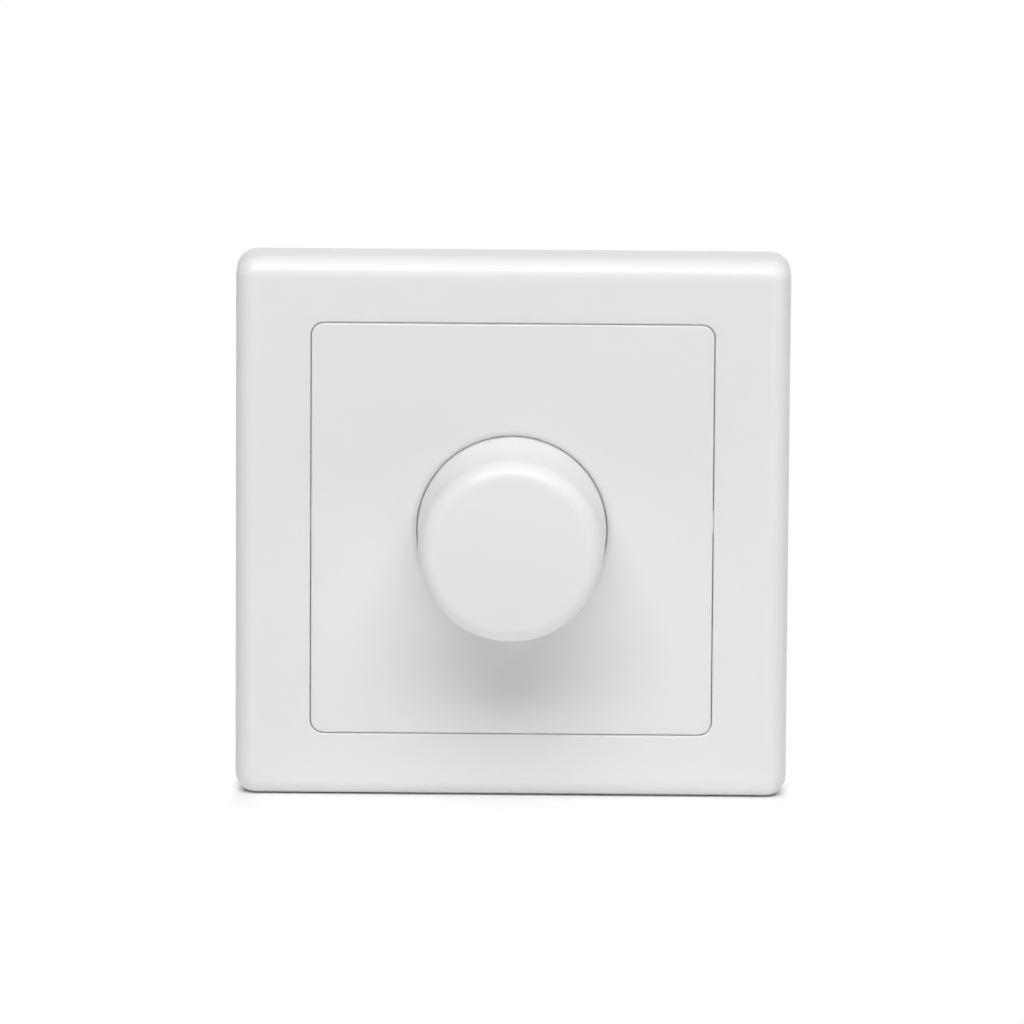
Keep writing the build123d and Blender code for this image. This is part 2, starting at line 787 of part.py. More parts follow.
# Return spring between the plunger and the floor of the switch
spring_floor = switch_back + switch_wall
spring_length = plunger_back - spring_floor - 2 * spring_wire - 0.1
spring_start = -spring_floor - spring_wire - 0.05
with BuildPart() as return_spring:
    with BuildLine():
        coil = Helix(
            spring_length / spring_turns,
            spring_length,
            spring_radius,
            center=(0, spring_start, 0),
            direction=(0, -1, 0),
        )
    with BuildSketch(Plane(coil @ 0, z_dir=coil % 0)):
        RegularPolygon(spring_wire, 6)
    sweep(is_frenet=True)
finish(return_spring, "return_spring")


# Triac: flat package on an insulating pad against the support plate
with BuildPart() as triac_pad:
    with BuildSketch(level(0)):
        with Locations((0, triac_z)):
            RectangleRounded(triac_length + 1.6, triac_height + 1.2, 0.8)
        with Locations((rivet_x, triac_z)):
            Circle(rivet_radius + thread_clearance, mode=Mode.SUBTRACT)
    extrude(amount=-pad_thickness)
finish(triac_pad, "triac_pad")

with BuildPart() as triac:
    with BuildSketch(level(-pad_thickness)):
        with Locations((0, triac_z)):
            Rectangle(triac_length, triac_height)
    extrude(amount=-triac_tab_thickness)
    with BuildSketch(level(-pad_thickness)):
        with Locations((triac_length / 2 - triac_body_length / 2, triac_z)):
            Rectangle(triac_body_length, triac_height)
    extrude(amount=-triac_thickness)
    chamfer(faces().sort_by(Axis.Y)[-1].edges(), 0.5)
    with BuildSketch(level(-pad_thickness)):
        with Locations((rivet_x, triac_z)):
            Circle(rivet_radius + thread_clearance)
    extrude(amount=-triac_thickness, mode=Mode.SUBTRACT)
    lead_level = -pad_thickness - triac_thickness / 2
    for i in (-1, 0, 1):
        with BuildSketch(level(lead_level)):
            with Locations((triac_length / 2 - 0.3, triac_z + i * lead_pitch)):
                Rectangle(lead_reach + 0.3, lead_width, align=(Align.MIN, Align.CENTER))
        extrude(amount=-lead_width)
        with BuildSketch(level(lead_level)):
            with Locations((triac_length / 2 + lead_reach, triac_z + i * lead_pitch)):
                Rectangle(lead_width, lead_width, align=(Align.MAX, Align.CENTER))
        extrude(amount=board_front - lead_level)
finish(triac, "triac")

with BuildPart() as triac_rivet:
    with BuildSketch(axis_plane):
        shank_back = -pad_thickness - triac_tab_thickness
        with BuildLine():
            Polyline(
                (0, support_thickness + rivet_head),
                (rivet_head_radius - 0.5, support_thickness + rivet_head),
                (rivet_head_radius, support_thickness),
                (rivet_radius, support_thickness),
                (rivet_radius, shank_back),
                (rivet_head_radius - 0.4, shank_back),
                (rivet_head_radius - 0.8, shank_back - rivet_head),
                (0, shank_back - rivet_head),
                close=True,
            )
        make_face()
    revolve(axis=Axis.Y)
triac_rivet.part = Pos(rivet_x, 0, triac_z) * triac_rivet.part
finish(triac_rivet, "triac_rivet")


# Choke: a ferrite spool lying on the back of the board, with its copper winding
choke_level = board_back - choke_radius
choke_axis = Plane(origin=(choke_x, -choke_level, choke_z), x_dir=(0, 0, 1), z_dir=(1, 0, 0))
with BuildPart() as choke_spool:
    with BuildSketch(choke_axis.offset(-choke_length / 2)):
        Circle(choke_radius)
    extrude(amount=choke_flange)
    with BuildSketch(choke_axis.offset(-choke_length / 2)):
        Circle(choke_core)
    extrude(amount=choke_length)
    with BuildSketch(choke_axis.offset(choke_length / 2)):
        Circle(choke_radius)
    extrude(amount=-choke_flange)
finish(choke_spool, "choke_spool")

winding_length = choke_length - 2 * choke_flange
winding_pitch = winding_length / choke_turns
winding_valley = choke_winding_radius - choke_wire_bulge * winding_pitch
with BuildPart() as choke_winding:
    with BuildSketch(Plane.XZ.offset(choke_level)):
        with BuildLine():
            for turn in range(choke_turns):
                left = choke_x - winding_length / 2 + turn * winding_pitch
                ThreePointArc(
                    (left, choke_z + winding_valley),
                    (left + winding_pitch / 2, choke_z + choke_winding_radius),
                    (left + winding_pitch, choke_z + winding_valley),
                )
            Polyline(
                (choke_x + winding_length / 2, choke_z + winding_valley),
                (choke_x + winding_length / 2, choke_z + choke_core),
                (choke_x - winding_length / 2, choke_z + choke_core),
                (choke_x - winding_length / 2, choke_z + winding_valley),
            )
        make_face()
    revolve(axis=Axis((choke_x, -choke_level, choke_z), (1, 0, 0)))
finish(choke_winding, "choke_winding")


# Suppression capacitor: a moulded block on the back of the board
with BuildPart() as capacitor:
    with BuildSketch(level(board_back)):
        with Locations((capacitor_x, capacitor_z)):
            Rectangle(capacitor_length, capacitor_height)
    extrude(amount=-capacitor_depth)
    fillet(edges().filter_by(Axis.Y), 0.6)
    fillet(faces().sort_by(Axis.Y)[-1].edges(), 0.4)
finish(capacitor, "suppression_capacitor")


# Fuse in its two clips
fuse_axis = Plane(origin=(0, -fuse_level, fuse_z), x_dir=(0, 0, 1), z_dir=(1, 0, 0))
with BuildPart() as fuse_tube:
    with BuildSketch(fuse_axis.offset(-fuse_length / 2 + 0.4)):
        Circle(fuse_radius - fuse_cap_wall)
    extrude(amount=fuse_length - 0.8)
finish(fuse_tube, "fuse_tube")

with BuildPart() as fuse_caps:
    for side in (-1, 1):
        with BuildSketch(fuse_axis.offset(side * fuse_length / 2)):
            Circle(fuse_radius)
        extrude(amount=-side * fuse_cap)
        with BuildSketch(fuse_axis.offset(side * (fuse_length / 2 - 0.4))):
            Circle(fuse_radius - fuse_cap_wall)
        extrude(amount=-side * fuse_cap, mode=Mode.SUBTRACT)
finish(fuse_caps, "fuse_caps")

clip_ring = fuse_radius + 0.02
with BuildPart() as fuse_clips:
    for x in (-fuse_clip_x, fuse_clip_x):
        with BuildSketch(fuse_axis.offset(x - fuse_clip_width / 2)):
            Circle(clip_ring + fuse_clip_wall)
            with Locations((0, board_back - fuse_level)):
                Rectangle(
                    2 * clip_ring + 2 * fuse_clip_wall,
                    board_back - fuse_level,
                    align=(Align.CENTER, Align.MAX),
                )
            Circle(clip_ring, mode=Mode.SUBTRACT)
            with Locations((0, board_back - fuse_level - fuse_clip_wall)):
                Rectangle(
                    2 * clip_ring, board_back - fuse_level - fuse_clip_wall, align=(Align.CENTER, Align.MAX),
                    mode=Mode.SUBTRACT,
                )
            with Locations((0, -fuse_radius)):
                Rectangle(fuse_clip_mouth, fuse_radius, mode=Mode.SUBTRACT)
        extrude(amount=fuse_clip_width)
finish(fuse_clips, "fuse_clips")


# Small parts on the front of the board, between it and the support plate
def bent_part(part_radius, part_end_radius, length, x, z):
    """A lying body with two wires bent down to the board."""
    height = board_front + part_end_radius
    lying = Plane(origin=(x, -height, z), x_dir=(0, 0, 1), z_dir=(1, 0, 0))
    with BuildPart() as body:
        with BuildSketch(lying.offset(-length / 2)):
            Circle(part_radius)
        extrude(amount=length)
        for end in (-1, 1):
            with BuildSketch(lying.offset(end * length / 2)):
                Circle(part_end_radius)
            extrude(amount=-end * length / 5)
            with BuildSketch(lying.offset(end * length / 2)):
                Circle(resistor_wire)
            extrude(amount=end * (wire_bend + resistor_wire))
            with BuildSketch(level(board_front)):
                with Locations((x + end * (length / 2 + wire_bend), z)):
                    Circle(resistor_wire)
            extrude(amount=part_end_radius)
    return body.part


resistor_bodies = [
    bent_part(resistor_radius, resistor_end_radius, resistor_length, 0, resistor_z - i * resistor_pitch)
    for i in range(resistor_count)
]
with BuildPart() as resistors:
    add(resistor_bodies)
finish(resistors, "resistors")

diode_body = bent_part(diode_radius, diode_radius, diode_length, diode_x, 0)
with BuildPart() as trigger_diode:
    add(diode_body)
finish(trigger_diode, "trigger_diode")

with BuildPart() as disc_capacitors:
    for x in (-disc_x, disc_x):
        with BuildSketch(Plane.XY.offset(disc_z)):
            with Locations((x, -board_front - disc_radius - disc_lift)):
                Circle(disc_radius)
        extrude(amount=disc_thickness)
        for side in (-1, 1):
            with BuildSketch(level(board_front)):
                with Locations((x + side * disc_wire_pitch / 2, disc_z + disc_thickness / 2)):
                    Circle(resistor_wire)
            extrude(amount=disc_radius / 2 + disc_lift)
finish(disc_capacitors, "disc_capacitors")


# Terminal clamps and their screws: brass blocks on the board, wires enter from behind
names = ("left", "middle", "right")
for place, (x, z) in zip(names, terminal_spots):
    with BuildPart() as clamp:
        with BuildSketch(level(board_back)):
            with Locations((x, z)):
                Rectangle(terminal_width, terminal_height)
        extrude(amount=-terminal_depth)
        fillet(edges().filter_by(Axis.Y), 0.5)
        with BuildSketch(level(terminal_back)):
            with Locations((x, z)):
                Circle(wire_hole)
        extrude(amount=terminal_depth - wire_blind, mode=Mode.SUBTRACT)
        with BuildSketch(Plane.XY.offset(z - terminal_height / 2)):
            with Locations((x, -terminal_screw_level)):
                Circle(terminal_screw_radius + thread_clearance)
        extrude(amount=terminal_height / 2, mode=Mode.SUBTRACT)
    finish(clamp, f"terminal_clamp_{place}")

    with BuildPart() as terminal_screw:
        screw_seat = z - terminal_height / 2 - terminal_screw_gap
        with BuildSketch(Plane.XY.offset(screw_seat)):
            with Locations((x, -terminal_screw_level)):
                Circle(terminal_screw_radius)
        extrude(amount=terminal_height / 2 + terminal_screw_gap - wire_hole - terminal_screw_tip_gap)
        with BuildSketch(Plane.XY.offset(screw_seat)):
            with Locations((x, -terminal_screw_level)):
                Circle(terminal_screw_head)
        extrude(amount=-terminal_screw_head_height)
        fillet(faces().sort_by(Axis.Z)[0].edges(), 0.3)
        with BuildSketch(Plane.XY.offset(screw_seat - terminal_screw_head_height)):
            with Locations((x, -terminal_screw_level)):
                Rectangle(2 * terminal_screw_head + 1, 0.7)
        extrude(amount=slot_depth, mode=Mode.SUBTRACT)
    finish(terminal_screw, f"terminal_screw_{place}")


# Spreading claws: sheet channels on trunnions, forked over their screws, with toothed tips
for side, place in ((-1, "left"), (1, "right")):
    with BuildPart() as claw:
        for ear in (-1, 1):
            ear_z = claw_half_width if ear > 0 else claw_ear - claw_half_width
            with BuildSketch(Plane.XY.offset(ear_z)):
                with BuildLine():
                    Polyline(
                        (side * claw_inner_x, -claw_ear_front),
                        (side * (claw_pivot_x + claw_ear_nose), -claw_ear_front),
                        (side * (claw_arm_x + claw_sheet), -claw_arm_front),
                        (side * (claw_arm_x + claw_sheet), -claw_ear_back),
                        (side * claw_arm_x, -claw_ear_back),
                        (side * claw_inner_x, -claw_ear_back + claw_ear_slope),
                        close=True,
                    )
                make_face()
            extrude(amount=-claw_ear)
            trunnion_base = ear * (claw_half_width - 0.2)
            with BuildSketch(Plane.XY.offset(trunnion_base)):
                with Locations((side * claw_pivot_x, -claw_pivot_level)):
                    Circle(claw_trunnion)
            extrude(amount=ear * (claw_trunnion_length + 0.2))
        with BuildSketch(Plane.YZ.offset(side * claw_arm_x)):
            with BuildLine():
                Polyline(
                    (-claw_arm_front + claw_arm_start, -claw_half_width),
                    (claw_length, -claw_half_width),
                    (claw_length - tooth_depth, -claw_half_width / 2),
                    (claw_length, 0),
                    (claw_length - tooth_depth, claw_half_width / 2),
                    (claw_length, claw_half_width),
                    (-claw_arm_front + claw_arm_start, claw_half_width),
                    close=True,
                )
            make_face()
        extrude(amount=side * claw_sheet)
        with BuildSketch(level(fork_front)):
            with Locations((side * (fork_inner_x + claw_arm_x + 0.2) / 2, 0)):
                Rectangle(claw_arm_x + 0.2 - fork_inner_x, 2 * claw_half_width)
        extrude(amount=-fork_thickness)
        fork_slot = claw_screw_radius + 2 * claw_screw_clearance
        with BuildSketch(level(fork_front)):
            with Locations((side * claw_screw_x, 0)):
                Circle(fork_slot)
            with Locations((side * (claw_screw_x - fork_slot), 0)):
                Rectangle(2 * fork_slot, 2 * fork_slot)
        extrude(amount=-fork_thickness, mode=Mode.SUBTRACT)
    finish(claw, f"claw_{place}")

    with BuildPart() as claw_screw:
        with BuildSketch(level(support_thickness)):
            with Locations((side * claw_screw_x, 0)):
                Circle(claw_screw_head)
        extrude(amount=claw_screw_head_height)
        fillet(faces().sort_by(Axis.Y)[0].edges(), 0.7)
        with BuildSketch(level(support_thickness)):
            with Locations((side * claw_screw_x, 0)):
                Circle(claw_screw_radius)
        extrude(amount=claw_screw_tip - support_thickness)
        chamfer(faces().sort_by(Axis.Y)[-1].edges(), 0.4)
        with BuildSketch(level(support_thickness + claw_screw_head_height)):
            with Locations((side * claw_screw_x, 0)):
                Rectangle(slot_width, 2 * claw_screw_head + 1)
        extrude(amount=-slot_depth, mode=Mode.SUBTRACT)
    finish(claw_screw, f"claw_screw_{place}")

    with BuildPart() as claw_nut:
        with BuildSketch(level(fork_front - fork_thickness - claw_nut_gap)):
            with Locations((side * claw_screw_x, 0)):
                Rectangle(claw_nut_size, claw_nut_size)
                Circle(claw_screw_radius + thread_clearance, mode=Mode.SUBTRACT)
        extrude(amount=-claw_nut_thickness)
    finish(claw_nut, f"claw_nut_{place}")
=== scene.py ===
import math

import bmesh
import bpy
from mathutils import Matrix, Vector


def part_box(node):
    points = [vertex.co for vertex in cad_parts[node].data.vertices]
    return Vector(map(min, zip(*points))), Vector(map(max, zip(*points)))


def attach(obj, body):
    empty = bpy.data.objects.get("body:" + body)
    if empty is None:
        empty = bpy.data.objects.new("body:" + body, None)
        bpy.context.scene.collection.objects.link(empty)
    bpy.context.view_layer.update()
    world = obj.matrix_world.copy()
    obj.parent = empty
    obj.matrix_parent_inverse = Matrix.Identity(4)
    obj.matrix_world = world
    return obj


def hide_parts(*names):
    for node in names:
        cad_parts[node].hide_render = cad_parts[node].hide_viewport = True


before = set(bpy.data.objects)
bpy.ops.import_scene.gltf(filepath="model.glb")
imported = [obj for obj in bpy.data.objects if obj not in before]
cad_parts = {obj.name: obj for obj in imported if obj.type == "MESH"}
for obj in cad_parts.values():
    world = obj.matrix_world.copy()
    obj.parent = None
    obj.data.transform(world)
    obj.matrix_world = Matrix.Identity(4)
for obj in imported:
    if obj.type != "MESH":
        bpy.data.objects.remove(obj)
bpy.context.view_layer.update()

MM = 0.001
CORNER_STEPS = 14
FRAME_EDGE_STEPS = 14
GROOVE_EDGE_STEPS = 5
SMOOTH_ANGLE = math.radians(35)
# The order of a ring's points starts this far before the X axis, in radians, where none lies.
ORDER_START = 0.01


def wider(size, margin):
    """A width and height with a margin added all round, or taken off where it is negative."""
    return (size[0] + 2 * margin, size[1] + 2 * margin)


def deselect():
    """Leaves nothing selected, so that the next operator acts on the new piece alone."""
    bpy.ops.object.select_all(action="DESELECT")


def begin(name):
    """An empty mesh object in edit mode, ready for rings."""
    deselect()
    bpy.ops.mesh.primitive_plane_add(size=MM)
    piece = bpy.context.object
    piece.name = name
    piece.data.name = name
    bpy.ops.object.mode_set(mode="EDIT")
    bpy.ops.mesh.delete(type="VERT")
    return piece


def mark_ring(piece, number):
    """Gives the selected points their ring's number."""
    mesh = bmesh.from_edit_mesh(piece.data)
    marks = mesh.verts.layers.int.get("ring") or mesh.verts.layers.int.new("ring")
    for point in mesh.verts:
        if point.select:
            point[marks] = number
    bmesh.update_edit_mesh(piece.data)


def rectangle_ring(piece, number, width, height, corner, y):
    """A rounded rectangle of edges across Y."""
    bpy.ops.mesh.select_all(action="DESELECT")
    bpy.ops.mesh.primitive_plane_add(size=1, location=(0, y, 0), rotation=(math.pi / 2, 0, 0))
    bpy.ops.transform.resize(value=(width, 1, height), center_override=(0, y, 0))
    bpy.ops.mesh.bevel(offset=corner, segments=CORNER_STEPS, affect="VERTICES", clamp_overlap=False)
    mark_ring(piece, number)
    bpy.ops.mesh.delete(type="ONLY_FACE")


def bridge(piece, first, second, flat=False):
    """Joins two rings point by point round the Y axis; a flat face between unlike rings is filled."""
    bpy.ops.mesh.select_mode(type="EDGE")
    mesh = bmesh.from_edit_mesh(piece.data)
    marks = mesh.verts.layers.int.get("ring")
    if flat:
        for edge in mesh.edges:
            a, b = edge.verts
            ring = a[marks]
            edge.select_set(ring == b[marks] and ring in (first, second) and len(edge.link_faces) < 2)
        bmesh.update_edit_mesh(piece.data)
        bpy.ops.mesh.fill(use_beauty=True)
        return
    near, far = [
        sorted(
            (point for point in mesh.verts if point[marks] == number),
            key=lambda point: (math.atan2(point.co.z, point.co.x) + ORDER_START) % math.tau,
        )
        for number in (first, second)
    ]
    for i in range(len(near)):
        mesh.faces.new((near[i - 1], near[i], far[i], far[i - 1]))
    bmesh.update_edit_mesh(piece.data)


def end(piece):
    """Leaves edit mode with clean outward faces and soft shading that keeps the flats flat."""
    bpy.ops.mesh.select_all(action="SELECT")
    bpy.ops.mesh.remove_doubles(threshold=0.001 * MM)
    bpy.ops.mesh.normals_make_consistent(inside=False)
    bpy.ops.object.mode_set(mode="OBJECT")
    marks = piece.data.attributes.get("ring")
    if marks:
        piece.data.attributes.remove(marks)
    bpy.ops.object.shade_smooth_by_angle(angle=SMOOTH_ANGLE)
    weight = piece.modifiers.new("weight", "WEIGHTED_NORMAL")
    weight.keep_sharp = True
    weight.weight = 100
    bpy.ops.object.modifier_apply(modifier="weight")


def rounded_edge(width, height, corner, radius, y, steps, inward=True):
    """Rings of a quarter-round edge: from the side wall in to the front face, or back from it."""
    rings = []
    for step in range(steps + 1):
        turn = math.radians(90 * step / steps)
        if inward:
            spread = -radius * (1 - math.cos(turn))
            depth = radius - radius * math.sin(turn)
        else:
            spread = radius * (1 - math.sin(turn))
            depth = radius - radius * math.cos(turn)
        rings.append((width + 2 * spread, height + 2 * spread, corner + spread, y + depth))
    return rings


def rectangle_skin(piece, rings, closed):
    """A skin over rounded rectangles, each given by width, height, corner and place."""
    for number, (width, height, corner, y) in enumerate(rings, start=1):
        rectangle_ring(piece, number, width, height, corner, y)
    for number in range(1, len(rings)):
        bridge(piece, number, number + 1)
    if closed:
        bridge(piece, len(rings), 1)


def add_block(centre, size, turn=0.0):
    """A plain block joined to the piece being edited, then turned about the Y axis by degrees."""
    bpy.ops.mesh.select_all(action="DESELECT")
    bpy.ops.mesh.primitive_cube_add(size=1, location=centre)
    bpy.ops.transform.resize(value=size, center_override=centre)
    if turn:
        bpy.ops.transform.rotate(value=math.radians(turn), orient_axis="Y", center_override=(0, 0, 0))


def uneven_finish(
    name,
    colour,
    tone,
    patch,
    layers,
    gloss_from,
    gloss_to,
    grain,
    bump_strength,
    relief,
    stretch=(1, 1, 1),
):
    """A material whose tone and gloss drift in soft patches, over a fine grain of relief in mm."""
    material = bpy.data.materials.new(name)
    material.use_nodes = True
    nodes = material.node_tree.nodes
    links = material.node_tree.links
    shader = nodes["Principled BSDF"]
    place = nodes.new("ShaderNodeTexCoord")
    spread = nodes.new("ShaderNodeMapping")
    spread.inputs["Scale"].default_value = stretch
    cloud = nodes.new("ShaderNodeTexNoise")
    cloud.inputs["Scale"].default_value = patch
    cloud.inputs["Detail"].default_value = layers
    shade = nodes.new("ShaderNodeMix")
    shade.data_type = "RGBA"
    shade.inputs["A"].default_value = (*[c * (1 - tone) for c in colour], 1)
    shade.inputs["B"].default_value = (*colour, 1)
    gloss = nodes.new("ShaderNodeMapRange")
    gloss.inputs["From Min"].default_value = gloss_from[0]
    gloss.inputs["From Max"].default_value = gloss_from[1]
    gloss.inputs["To Min"].default_value = gloss_to[0]
    gloss.inputs["To Max"].default_value = gloss_to[1]
    fine = nodes.new("ShaderNodeTexNoise")
    fine.inputs["Scale"].default_value = grain
    fine.inputs["Detail"].default_value = 2
    bump = nodes.new("ShaderNodeBump")
    bump.inputs["Strength"].default_value = bump_strength
    bump.inputs["Distance"].default_value = relief * MM
    links.new(place.outputs["Object"], spread.inputs["Vector"])
    links.new(spread.outputs["Vector"], cloud.inputs["Vector"])
    links.new(spread.outputs["Vector"], fine.inputs["Vector"])
    links.new(cloud.outputs["Fac"], shade.inputs["Factor"])
    links.new(shade.outputs["Result"], shader.inputs["Base Color"])
    links.new(cloud.outputs["Fac"], gloss.inputs["Value"])
    links.new(gloss.outputs["Result"], shader.inputs["Roughness"])
    links.new(fine.outputs["Fac"], bump.inputs["Height"])
    links.new(bump.outputs["Normal"], shader.inputs["Normal"])
    return material


def white_plastic(name, colour, roughness, ripple):
    """Glossy white moulding: a faint unevenness in tone and gloss, and a very shallow ripple."""
    material = uneven_finish(
        name,
        colour,
        tone=0.015,
        patch=38,
        layers=3,
        gloss_from=(0, 1),
        gloss_to=(roughness - 0.02, roughness + 0.03),
        grain=900,
        bump_strength=ripple,
        relief=0.02,
    )
    shader = material.node_tree.nodes["Principled BSDF"]
    shader.inputs["IOR"].default_value = 1.5
    shader.inputs["Subsurface Weight"].default_value = 0.8
    shader.inputs["Subsurface Radius"].default_value = (1.0, 0.96, 0.92)
    shader.inputs["Subsurface Scale"].default_value = 1.3 * MM
    return material


def dress(piece, material):
    """Gives a piece one material."""
    piece.data.materials.clear()
    piece.data.materials.append(material)


cover_white = white_plastic("cover white", (0.80, 0.79, 0.795), roughness=0.33, ripple=0.10)

frame_low, frame_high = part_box("cover_frame")
frame_size = (frame_high.x - frame_low.x, frame_high.z - frame_low.z)
front_y = frame_low.y
plate_low, plate_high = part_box("centre_plate")
plate_size = (plate_high.x - plate_low.x, plate_high.z - plate_low.z)
groove = 0.10 * MM
groove_edge = 0.3 * MM
opening_size = wider(plate_size, groove)
frame_corner = 3.1 * MM
frame_edge = 3.0 * MM
plate_corner = 1.9 * MM
opening_corner = plate_corner + groove
ledge_front = -3.5 * MM
ledge_back = -2.0 * MM
ledge_width = 1.6 * MM
ledge_corner = 0.5 * MM
ledge_size = wider(opening_size, -ledge_width)
inner_wall = 1.4 * MM
inner_wall_size = wider(opening_size, inner_wall)
inner_wall_corner = opening_corner + inner_wall
outer_wall = 2.0 * MM
outer_wall_size = wider(frame_size, -outer_wall)
outer_wall_corner = frame_corner - outer_wall
skin_back = front_y + 2.0 * MM
frame_rings = [(*frame_size, frame_corner, frame_high.y)]
frame_rings += rounded_edge(*frame_size, frame_corner, frame_edge, front_y, FRAME_EDGE_STEPS)
frame_rings += rounded_edge(
    *opening_size, opening_corner, groove_edge, front_y, GROOVE_EDGE_STEPS, inward=False
)
frame_rings += [
    (*opening_size, opening_corner, ledge_front),
    (*ledge_size, ledge_corner, ledge_front),
    (*ledge_size, ledge_corner, ledge_back),
    (*inner_wall_size, inner_wall_corner, ledge_back),
    (*inner_wall_size, inner_wall_corner, skin_back),
    (*outer_wall_size, outer_wall_corner, skin_back),
    (*outer_wall_size, outer_wall_corner, frame_high.y),
]
cover = begin("cover_frame_moulding")
rectangle_skin(cover, frame_rings, closed=True)
bpy.ops.mesh.select_all(action="SELECT")
bpy.ops.mesh.normals_make_consistent(inside=False)
bpy.ops.object.mode_set(mode="OBJECT")
head_room = 4.2 * MM
screw_circle = 30.0 * MM
notch_margin = 0.02 * MM
notch_steps = 64
for x, z in ((-1, 0), (1, 0), (0, -1), (0, 1)):
    deselect()
    bpy.ops.mesh.primitive_cylinder_add(
        vertices=notch_steps,
        radius=head_room,
        depth=2 * (notch_margin - ledge_front),
        location=(x * screw_circle, 0, z * screw_circle),
        rotation=(math.pi / 2, 0, 0),
    )
    notch = bpy.context.object
    cut = cover.modifiers.new("notch", "BOOLEAN")
    cut.operation = "DIFFERENCE"
    cut.solver = "EXACT"
    cut.object = notch
    deselect()
    cover.select_set(True)
    bpy.context.view_layer.objects.active = cover
    bpy.ops.object.modifier_apply(modifier="notch")
    bpy.data.objects.remove(notch)
bpy.ops.object.mode_set(mode="EDIT")
rib_base = 3.0 * MM
rib_width = 1.0 * MM
rib_pitch = 15.0 * MM
rib_sink = 0.1 * MM
rib_middle_y = (skin_back - rib_base) / 2
rib_depth = -skin_back - rib_base + 2 * rib_sink
side_gaps = [(frame_size[i] - opening_size[i]) / 2 - inner_wall - outer_wall for i in (0, 1)]
side_middles = [(opening_size[i] + side_gaps[i]) / 2 + inner_wall for i in (0, 1)]
side_length, top_length = [gap + 2 * rib_sink for gap in side_gaps]
for side in (-1, 1):
    for step in (-1.5, -0.5, 0.5, 1.5):
        side_place = (side * side_middles[0], rib_middle_y, step * rib_pitch)
        top_place = (step * rib_pitch, rib_middle_y, side * side_middles[1])
        add_block(side_place, (side_length, rib_depth, rib_width))
        add_block(top_place, (rib_width, rib_depth, top_length))
end(cover)
dress(cover, cover_white)
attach(cover, "root")
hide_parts("cover_frame")

# Centre plate
# A white moulded plate set flush in the frame, with a fine groove round it and a round
# recess that the knob stands in. The retaining nut clamps it through the recess floor.
ROUND_STEPS = 128


def round_ring(piece, number, radius, y):
    """A circle of edges across Y."""
    bpy.ops.mesh.select_all(action="DESELECT")
    bpy.ops.mesh.primitive_circle_add(
        vertices=ROUND_STEPS, radius=radius, location=(0, y, 0), rotation=(math.pi / 2, 0, 0)
    )
    mark_ring(piece, number)


recess_radius = 13.96 * MM
recess_lip = 1.15 * MM
recess_slope = math.radians(42)
recess_floor_y = -4.0 * MM
recess_back_y = -2.7 * MM
recess_wall = 1.64 * MM
bush_hole = 5.1 * MM
plate_back_y = front_y + 1.8 * MM
plate_skirt = 1.2 * MM
plate_inside = wider(plate_size, -plate_skirt)
plate_inside_corner = 0.7 * MM
plate = begin("centre_plate_moulding")
plate_rings = [
    (*plate_inside, plate_inside_corner, plate_back_y),
    (*plate_inside, plate_inside_corner, ledge_front),
    (*plate_size, plate_corner, ledge_front),
]
plate_rings += rounded_edge(*plate_size, plate_corner, groove_edge, front_y, GROOVE_EDGE_STEPS)
rectangle_skin(plate, plate_rings, closed=False)
plate_rounds = []
lip_bend = recess_lip / math.sin(recess_slope)
lip_steps = 8
for step in range(lip_steps + 1):
    turn = recess_slope * step / lip_steps
    plate_rounds.append(
        (
            recess_radius + recess_lip - lip_bend * math.sin(turn),
            front_y + lip_bend * (1 - math.cos(turn)),
        )
    )
plate_rounds += [
    (recess_radius, recess_floor_y),
    (bush_hole, recess_floor_y),
    (bush_hole, recess_back_y),
    (recess_radius + recess_wall, recess_back_y),
    (recess_radius + recess_wall, plate_back_y),
]
last_rectangle = len(plate_rings)
for number, (radius, y) in enumerate(plate_rounds, start=last_rectangle + 1):
    round_ring(plate, number, radius, y)
last_round = last_rectangle + len(plate_rounds)
bridge(plate, last_rectangle, last_rectangle + 1, flat=True)
for number in range(last_rectangle + 1, last_round):
    bridge(plate, number, number + 1)
bridge(plate, last_round, 1, flat=True)
plate_ribs = 8
plate_rib = 1.0 * MM
plate_rib_drop = 1.4 * MM
plate_rib_sink = 0.3 * MM
rib_from = recess_radius + recess_wall - plate_rib_sink
rib_to = plate_inside[0] / 2 + plate_rib_sink
for step in range(plate_ribs):
    add_block(
        ((rib_from + rib_to) / 2, plate_back_y + plate_rib_drop / 2, 0),
        (rib_to - rib_from, plate_rib_drop, plate_rib),
        turn=360 / plate_ribs * step,
    )
end(plate)
dress(plate, cover_white)
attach(plate, "root")
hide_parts("centre_plate")


# Knob
# A hollow white cap, slightly tapered, with a large soft rim and a faintly domed front. It
# pushes on to the flat of the spindle; four webs hold the hub inside.
def close_ring(piece, number):
    """Closes a small ring to a point at its middle."""
    bpy.ops.mesh.select_mode(type="VERT")
    mesh = bmesh.from_edit_mesh(piece.data)
    marks = mesh.verts.layers.int.get("ring")
    for point in mesh.verts:
        point.select_set(point[marks] == number)
    bpy.ops.mesh.merge(type="CENTER")


